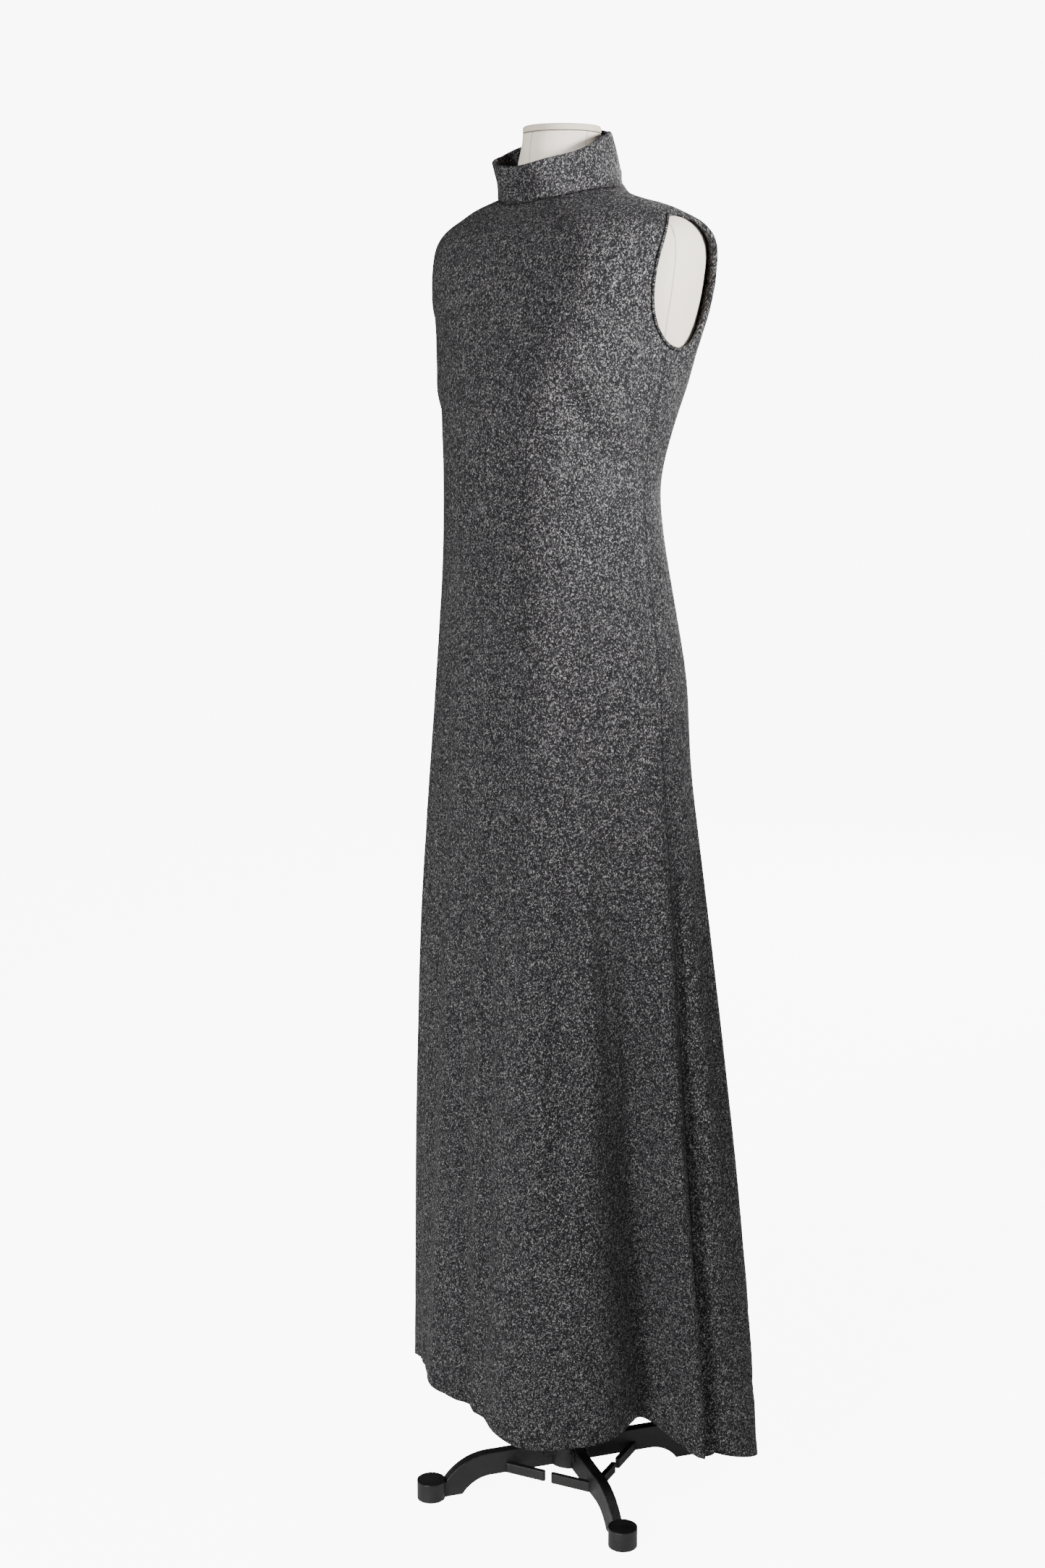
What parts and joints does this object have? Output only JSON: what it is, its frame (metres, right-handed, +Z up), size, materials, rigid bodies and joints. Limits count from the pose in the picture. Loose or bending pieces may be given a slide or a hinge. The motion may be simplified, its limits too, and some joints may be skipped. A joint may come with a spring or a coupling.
{
  "type": "dress form mannequin",
  "caption": "Cream fabric-covered torso form on a height-adjustable pole with a black four-legged base, dressed in a sleeveless floor-length metallic gown.",
  "frame": {"origin": "the point on the floor under the pole's axis", "axes": "+Z up along the pole; the form faces -Y, and its own left side is +X"},
  "size_m": [0.4222, 0.4134, 1.602],
  "materials": {
    "black_iron": "satin",
    "black_tube": "satin",
    "bright_steel": "satin",
    "chromed_tube": "polished",
    "nylon": "matte",
    "plywood": "matte",
    "moulded_shell": "matte",
    "cream_jersey": "matte",
    "metallic_knit": "matte",
    "black_plastic": "satin"
  },
  "bodies": {
    "base": {"leg_left": "black_iron", "leg_back": "black_iron", "leg_right": "black_iron", "leg_front": "black_iron", "hub_post": "black_iron", "leg_bolts": "black_iron", "brace_bars": "black_iron", "base_bolt": "bright_steel", "base_washer": "bright_steel", "lower_tube": "black_tube", "tube_foot_plug": "bright_steel", "guide_bush": "nylon", "height_collar": "black_iron"},
    "mast": {"upper_tube": "chromed_tube", "tube_stop": "nylon", "tube_top_plug": "nylon", "bearing_disc": "nylon"},
    "torso": {"torso_socket": "black_tube", "socket_cap": "black_tube", "socket_flange": "black_tube", "flange_screws": "bright_steel", "base_board": "plywood", "shell_front": "moulded_shell", "shell_back": "moulded_shell", "cover_front": "cream_jersey", "cover_back": "cream_jersey", "neck_block": "plywood", "neck_cap": "cream_jersey", "gown_front": "metallic_knit", "gown_back_left": "metallic_knit", "gown_back_right": "metallic_knit", "gown_funnel": "metallic_knit"},
    "height_knob": {"height_screw": "bright_steel", "height_knob": "black_plastic"},
    "swivel_knob": {"swivel_screw": "bright_steel", "swivel_knob": "black_plastic"}
  },
  "joints": [
    {"name": "height_slide", "type": "slide", "parent": "base", "child": "mast", "axis": [0, 0, 1], "range_m": [0, 0.2]},
    {"name": "torso_swivel", "type": "hinge", "parent": "mast", "child": "torso", "pos_m": [0, 0, 0.9], "axis": [0, 0, 1], "continuous": true},
    {"name": "height_knob_turn", "type": "hinge", "parent": "base", "child": "height_knob", "pos_m": [0, 0.045, 0.639], "axis": [0, 1, 0], "range_deg": [0, 360]},
    {"name": "swivel_knob_turn", "type": "hinge", "parent": "torso", "child": "swivel_knob", "pos_m": [0, 0.045, 0.869], "axis": [0, 1, 0], "range_deg": [0, 360]}
  ]
}
